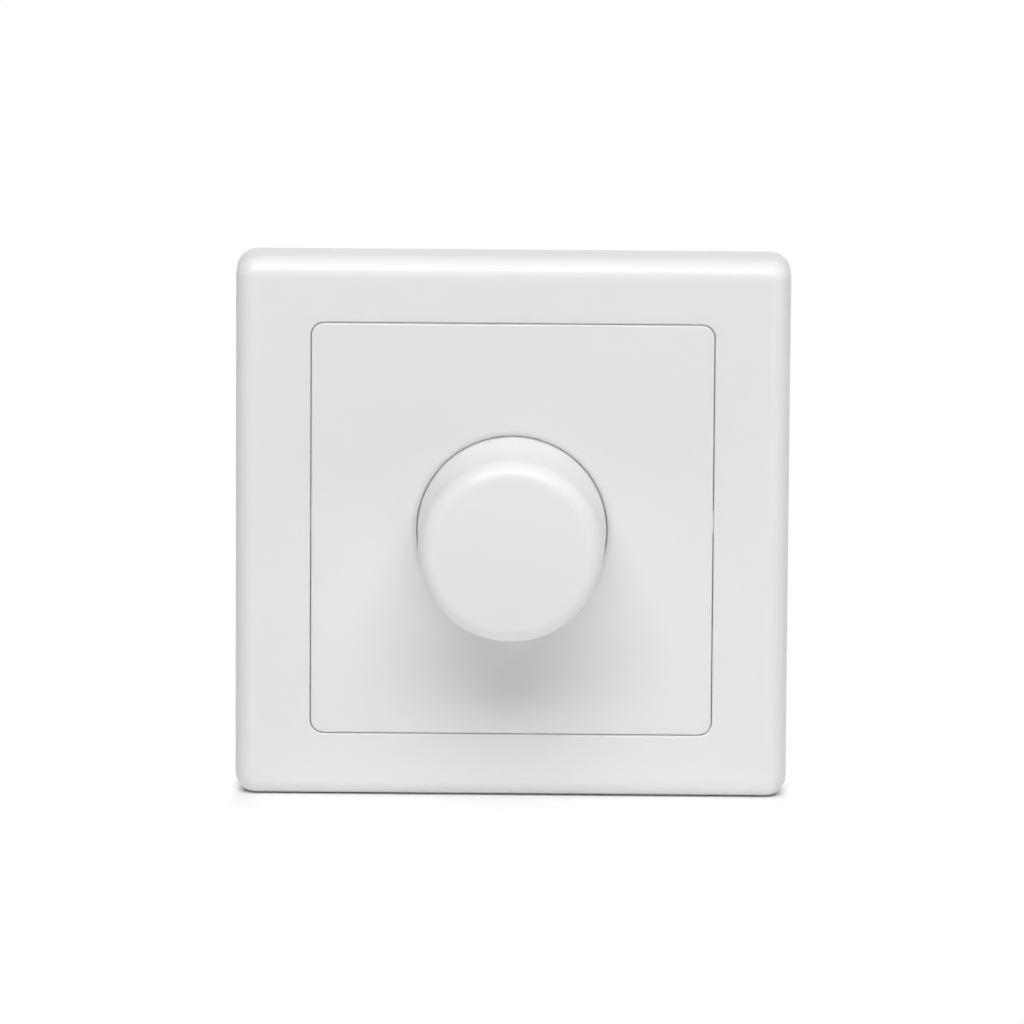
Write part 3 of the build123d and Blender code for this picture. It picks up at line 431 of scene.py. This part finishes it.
knob_low, knob_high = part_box("knob")
knob_front_y = knob_low.y
knob_base_y = knob_high.y
knob_base_radius = (knob_high.x - knob_low.x) / 2
knob_front_radius = 13.45 * MM
knob_rim = 2.6 * MM
knob_dome = 0.5 * MM
knob_wall = 1.6 * MM
knob_skin = 1.9 * MM
inside_slope_start = 1.0 * MM
inside_slope_width = 0.8 * MM
hub_radius = 4.8 * MM
hub_end_y = -7.3 * MM
hub_bore = 3.05 * MM
bore_end_y = -19.2 * MM
side_steps = 8
rim_steps = 16
dome_steps = 10
rim_y = knob_front_y + knob_dome
rim_base_y = rim_y + knob_rim
flat_radius = knob_front_radius - knob_rim
knob_inside = [
    (hub_bore, bore_end_y),
    (hub_bore, hub_end_y),
    (hub_radius, hub_end_y),
    (hub_radius, rim_y + knob_skin),
    (knob_front_radius - knob_wall - inside_slope_width, rim_y + knob_skin),
    (knob_front_radius - knob_wall, rim_base_y + inside_slope_start),
    (knob_base_radius - knob_wall, knob_base_y),
]
knob_side = [
    (
        knob_base_radius + (knob_front_radius - knob_base_radius) * step / side_steps,
        knob_base_y + (rim_base_y - knob_base_y) * step / side_steps,
    )
    for step in range(side_steps)
]
knob_front = []
for step in range(rim_steps + 1):
    turn = math.radians(90 * step / rim_steps)
    knob_front.append(
        (
            flat_radius + knob_rim * math.cos(turn),
            rim_base_y - knob_rim * math.sin(turn),
        )
    )
for step in range(1, dome_steps):
    radius = flat_radius * (1 - step / dome_steps)
    knob_front.append((radius, rim_y - knob_dome * (1 - (radius / flat_radius) ** 2)))
knob_rounds = knob_inside + knob_side + knob_front
knob = begin("knob_cap")
for number, (radius, y) in enumerate(knob_rounds, start=1):
    round_ring(knob, number, radius, y)
for number in range(1, len(knob_rounds)):
    bridge(knob, number, number + 1)
close_ring(knob, len(knob_rounds))
bpy.ops.mesh.select_mode(type="EDGE")
mesh = bmesh.from_edit_mesh(knob.data)
for edge in mesh.edges:
    edge.select_set(edge.is_boundary)
bmesh.update_edit_mesh(knob.data)
bpy.ops.mesh.edge_face_add()
webs = 4
web_middle = 8.1 * MM
web_length = 7.2 * MM
web_width = 1.0 * MM
web_depth = 7.0 * MM
web_sink = 0.3 * MM
web_top = rim_y + knob_skin - web_sink
web_bottom = rim_y + knob_skin + web_depth
for step in range(webs):
    add_block(
        (web_middle, (web_top + web_bottom) / 2, 0),
        (web_length, web_bottom - web_top, web_width),
        turn=360 / webs * step,
    )
end(knob)
dress(knob, white_plastic("knob white", (0.80, 0.79, 0.79), roughness=0.33, ripple=0.12))
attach(knob, "knob_and_spindle")
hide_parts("knob")


# Hub spring, nuts, bush and spindle
# A spring ring grips the spindle in the knob's hub. The bush guides the spindle, a thin nut
# fixes the bush to the support plate and the round nut clamps the centre plate on it.
def surface(
    name,
    colour,
    metal=0.0,
    roughness=0.4,
    tone=0.1,
    patch=60,
    grain=900,
    relief=0.02,
    stretch=(1, 1, 1),
):
    """The finish of an inner piece, more uneven in tone and gloss than the white mouldings."""
    material = uneven_finish(
        name,
        colour,
        tone=tone,
        patch=patch,
        layers=4,
        gloss_from=(0.3, 0.7),
        gloss_to=(roughness * 0.85, roughness * 1.15),
        grain=grain,
        bump_strength=0.6,
        relief=relief,
        stretch=stretch,
    )
    material.node_tree.nodes["Principled BSDF"].inputs["Metallic"].default_value = metal
    return material


def coat(material, *names):
    """Gives the inner pieces, which keep their own shape, a finer material."""
    for name in names:
        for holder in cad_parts[name].material_slots:
            holder.material = material


turned_steel = surface(
    "turned steel",
    (0.62, 0.62, 0.63),
    metal=1,
    roughness=0.22,
    tone=0.06,
    grain=500,
    stretch=(1, 9, 1),
)
spring_steel = surface(
    "spring steel",
    (0.42, 0.42, 0.43),
    metal=1,
    roughness=0.30,
    tone=0.15,
    relief=0.005,
)
zinc_sheet = surface(
    "zinc-plated sheet",
    (0.60, 0.61, 0.63),
    metal=1,
    roughness=0.36,
    tone=0.22,
    patch=110,
    relief=0.008,
)
coat(turned_steel, "threaded_bush", "spindle")
coat(spring_steel, "hub_spring_ring", "spindle_clip", "wiper_leaf", "return_spring")
coat(zinc_sheet, "thin_nut", "retaining_nut")

# Support plate
# Punched sheet steel, zinc-plated, with slots for the box screws. Four screws hold the
# housing to it, and a rivet holds the triac, which it cools.
zinc_screw = surface(
    "zinc-plated screw",
    (0.66, 0.66, 0.64),
    metal=1,
    roughness=0.28,
    tone=0.12,
    patch=200,
    relief=0.006,
)
coat(zinc_sheet, "support_plate")
coat(zinc_screw, "housing_screws", "triac_rivet")

# Potentiometer and push switch
# The wiper runs on a carbon track in a moulded case. Behind the board, the spindle pushes
# a plunger with a brass bridge on to two brass contacts.
case_plastic = surface(
    "case moulding",
    (0.055, 0.055, 0.062),
    roughness=0.42,
    tone=0.15,
    relief=0.012,
)
natural_nylon = surface(
    "natural nylon",
    (0.66, 0.62, 0.53),
    roughness=0.45,
    tone=0.06,
    relief=0.008,
)
nylon_shader = natural_nylon.node_tree.nodes["Principled BSDF"]
nylon_shader.inputs["Subsurface Weight"].default_value = 0.1
nylon_shader.inputs["Subsurface Scale"].default_value = 0.4 * MM
rolled_brass = surface(
    "rolled brass",
    (0.72, 0.50, 0.20),
    metal=1,
    roughness=0.27,
    tone=0.25,
    patch=150,
    relief=0.006,
)
coat(case_plastic, "potentiometer_case", "switch_case")
coat(natural_nylon, "wiper_rotor", "switch_plunger")
coat(rolled_brass, "contact_bridge", "fixed_contacts")

# Circuit board and its parts
# A brown paper-laminate board carries the choke, capacitors, resistors, trigger diode and
# the glass fuse in its clips. The triac sits on its insulating pad against the steel.
laminate = surface(
    "paper laminate",
    (0.33, 0.19, 0.075),
    roughness=0.38,
    tone=0.3,
    patch=260,
    relief=0.006,
    stretch=(1, 1, 3),
)
epoxy = surface("moulded epoxy", (0.02, 0.02, 0.022), roughness=0.45, tone=0.2, relief=0.015)
silicone = surface("silicone pad", (0.50, 0.53, 0.58), roughness=0.7, tone=0.05)
ferrite = surface("sintered ferrite", (0.035, 0.035, 0.04), roughness=0.55, tone=0.2, relief=0.02)
copper = surface(
    "enamelled copper",
    (0.55, 0.20, 0.08),
    metal=0.9,
    roughness=0.25,
    tone=0.25,
    patch=300,
)
film_box = surface("film capacitor box", (0.62, 0.45, 0.07), roughness=0.35, tone=0.06)
dipped_lacquer = surface("dipped lacquer", (0.42, 0.14, 0.03), roughness=0.3, tone=0.12, relief=0.03)
resistor_lacquer = surface("resistor lacquer", (0.50, 0.34, 0.18), roughness=0.3, tone=0.1, relief=0.02)
coat(laminate, "circuit_board", "track_disc")
coat(epoxy, "triac")
coat(silicone, "triac_pad")
coat(ferrite, "choke_spool")
coat(copper, "choke_winding")
coat(film_box, "suppression_capacitor")
coat(dipped_lacquer, "disc_capacitors")
coat(resistor_lacquer, "resistors")
coat(rolled_brass, "fuse_clips", "fuse_caps")


def clear_glass(name, colour):
    """Drawn glass, clear or tinted."""
    material = bpy.data.materials.new(name)
    material.use_nodes = True
    shader = material.node_tree.nodes["Principled BSDF"]
    shader.inputs["Base Color"].default_value = (*colour, 1)
    shader.inputs["Transmission Weight"].default_value = 1.0
    shader.inputs["Roughness"].default_value = 0.03
    shader.inputs["IOR"].default_value = 1.5
    return material


coat(clear_glass("fuse glass", (0.93, 0.96, 0.95)), "fuse_tube")
coat(clear_glass("diode glass", (0.75, 0.32, 0.12)), "trigger_diode")

# Base housing
# A dark moulded cup round the works, with vents over the choke and three holes behind, one
# for each wire.
housing_plastic = surface(
    "housing moulding",
    (0.030, 0.031, 0.034),
    roughness=0.5,
    tone=0.18,
    patch=40,
    relief=0.03,
)
coat(housing_plastic, "base_housing")

# Terminals
# Three brass clamps with a screw each. A screwdriver reaches the screws through the
# underside of the housing.
terminal_names = ("left", "middle", "right")
coat(rolled_brass, *[f"terminal_clamp_{name}" for name in terminal_names])
coat(zinc_screw, *[f"terminal_screw_{name}" for name in terminal_names])

# Spreading claws
# Each sheet-steel claw swings out on its trunnions when its screw draws the square nut
# forward against its fork.
coat(zinc_sheet, "claw_left", "claw_right")
coat(zinc_screw, "claw_nut_left", "claw_nut_right", "claw_screw_left", "claw_screw_right")

# Floor
# A white studio table that the switch stands on by its lower edge. Away from the switch it
# is seen as bright as the room, and close to it keeps its real light and contact shadow.
table_side = 6.0
table_cells = 4
deselect()
bpy.ops.mesh.primitive_grid_add(
    x_subdivisions=table_cells,
    y_subdivisions=table_cells,
    size=table_side,
    location=(0, 0, frame_low.z),
)
floor = bpy.context.object
floor.name = "studio_table"
bpy.ops.object.transform_apply(location=True, rotation=False, scale=False)
table_white = bpy.data.materials.new("table white")
table_white.use_nodes = True
table_tree = table_white.node_tree
table_nodes = table_tree.nodes
table_links = table_tree.links
table_shader = table_nodes["Principled BSDF"]
table_shader.inputs["Base Color"].default_value = (0.97, 0.97, 0.97, 1)
table_shader.inputs["Roughness"].default_value = 0.6
table_shader.inputs["Specular IOR Level"].default_value = 0.2


def arithmetic(tree, operation, *values):
    """One step of arithmetic between numbers and the outputs of other nodes."""
    step = tree.nodes.new("ShaderNodeMath")
    step.operation = operation
    for socket, value in zip(step.inputs, values):
        if isinstance(value, (int, float)):
            socket.default_value = value
        else:
            tree.links.new(value, socket)
    return step.outputs["Value"]


def seen_or_mirrored(tree):
    """1 for rays that see a thing straight, through glass or in a gloss, and 0 where it gives light."""
    rays = tree.nodes.new("ShaderNodeLightPath").outputs
    seen = arithmetic(tree, "MAXIMUM", rays["Is Camera Ray"], rays["Is Transmission Ray"])
    return arithmetic(tree, "MAXIMUM", seen, rays["Is Glossy Ray"])


def table_fade(distance, start, stop):
    """Rises smoothly from 0 to 1 between two distances from the frame, given in mm."""
    fade = table_nodes.new("ShaderNodeMapRange")
    fade.interpolation_type = "SMOOTHSTEP"
    fade.inputs["From Min"].default_value = start * MM
    fade.inputs["From Max"].default_value = stop * MM
    table_links.new(distance, fade.inputs["Value"])
    return fade.outputs["Result"]


table_place = table_nodes.new("ShaderNodeTexCoord")
table_axes = table_nodes.new("ShaderNodeSeparateXYZ")
table_links.new(table_place.outputs["Object"], table_axes.inputs["Vector"])
across = arithmetic(table_tree, "ABSOLUTE", table_axes.outputs["X"])
beside = arithmetic(table_tree, "SUBTRACT", across, frame_high.x)
before = arithmetic(table_tree, "SUBTRACT", frame_low.y, table_axes.outputs["Y"])
behind = arithmetic(table_tree, "SUBTRACT", table_axes.outputs["Y"], frame_high.y)
clear_of_sides = table_fade(beside, start=-1.5, stop=1.0)
clear_of_front = table_fade(before, start=3.0, stop=9.0)
clear_of_back = table_fade(behind, start=12.0, stop=60.0)
clear_of_ends = arithmetic(table_tree, "MAXIMUM", clear_of_front, clear_of_back)
near_sides = table_fade(beside, start=-26.0, stop=0.0)
past_back = table_fade(behind, start=-4.0, stop=4.0)
soft_sides = arithmetic(table_tree, "MULTIPLY", near_sides, past_back)
clear_of_edges = arithmetic(table_tree, "MAXIMUM", clear_of_sides, soft_sides)
clear_of_shadow = arithmetic(table_tree, "MAXIMUM", clear_of_edges, clear_of_ends)
bright_share = arithmetic(table_tree, "MULTIPLY", seen_or_mirrored(table_tree), clear_of_shadow)
table_glow = table_nodes.new("ShaderNodeEmission")
table_glow.inputs["Color"].default_value = (1, 1, 1, 1)
table_glow.inputs["Strength"].default_value = 1.0
table_mix = table_nodes.new("ShaderNodeMixShader")
table_links.new(bright_share, table_mix.inputs["Fac"])
table_links.new(table_shader.outputs["BSDF"], table_mix.inputs[1])
table_links.new(table_glow.outputs["Emission"], table_mix.inputs[2])
table_links.new(table_mix.outputs["Shader"], table_nodes["Material Output"].inputs["Surface"])
dress(floor, table_white)

# Studio light
# A wide softbox half-way up in front, one overhead, a small one at the right and a weak low
# one that opens the shadows under the edges. The room is white where it is seen or mirrored,
# and lights the switch very little.
lamp_distance = 1.6


def softbox(name, elevation, azimuth, width, height, power):
    """A rectangular lamp at an elevation and azimuth in degrees, facing the switch."""
    lamp = bpy.data.lights.new(name, "AREA")
    lamp.shape = "RECTANGLE"
    lamp.size = width
    lamp.size_y = height
    lamp.energy = power
    holder = bpy.data.objects.new(name, lamp)
    up = math.radians(elevation)
    turn = math.radians(azimuth)
    away = Vector((math.sin(turn) * math.cos(up), -math.cos(turn) * math.cos(up), math.sin(up)))
    holder.location = away * lamp_distance
    holder.rotation_euler = (-away).to_track_quat("-Z", "Y").to_euler()
    bpy.context.scene.collection.objects.link(holder)


softbox("front softbox", elevation=50, azimuth=0, width=1.6, height=0.75, power=22.2)
softbox("low softbox", elevation=9, azimuth=0, width=1.6, height=0.35, power=1.3)
softbox("overhead softbox", elevation=87, azimuth=0, width=1.6, height=0.45, power=5.6)
softbox("right softbox", elevation=40, azimuth=90, width=0.9, height=0.56, power=2.3)

room = bpy.data.worlds.new("room")
bpy.context.scene.world = room
room.use_nodes = True
room_tree = room.node_tree
room_light = room_tree.nodes["Background"]
room_light.inputs["Color"].default_value = (1, 1, 1, 1)
strength = room_tree.nodes.new("ShaderNodeMapRange")
strength.inputs["To Min"].default_value = 0.02
strength.inputs["To Max"].default_value = 1.0
room_tree.links.new(seen_or_mirrored(room_tree), strength.inputs["Value"])
room_tree.links.new(strength.outputs["Result"], room_light.inputs["Strength"])

# Camera
# A long lens a little above the knob, looking slightly down and rolled as in the photograph.
# It is placed so that the plate's centre and the scale fall where they do there.
camera_elevation = math.radians(12.09)
camera_azimuth = math.radians(0.39)
camera_distance = 1.665
camera_roll = math.radians(0.36)
pixels_per_metre = 6834.5
image_side = 1024
sensor_side = 36.0
plate_centre_pixel = (511.9, 529.9)
camera_data = bpy.data.cameras.new("camera")
camera_data.sensor_width = sensor_side
camera_data.lens = camera_distance * pixels_per_metre * sensor_side / image_side
camera_data.clip_start = 0.05
camera_data.clip_end = 60
camera = bpy.data.objects.new("camera", camera_data)
bpy.context.scene.collection.objects.link(camera)
level = math.cos(camera_elevation)
away = Vector((
    math.sin(camera_azimuth) * level,
    -math.cos(camera_azimuth) * level,
    math.sin(camera_elevation),
))
aim = (-away).to_track_quat("-Z", "Y").to_matrix() @ Matrix.Rotation(camera_roll, 3, "Z")
right_shift = (image_side / 2 - plate_centre_pixel[0]) / pixels_per_metre
up_shift = (plate_centre_pixel[1] - image_side / 2) / pixels_per_metre
plate_centre = Vector((0, front_y, 0))
camera.location = plate_centre + away * camera_distance + aim @ Vector((right_shift, up_shift, 0))
camera.rotation_mode = "QUATERNION"
camera.rotation_quaternion = aim.to_quaternion()
bpy.context.scene.camera = camera
bpy.context.scene.view_settings.view_transform = "Standard"

bpy.context.view_layer.update()
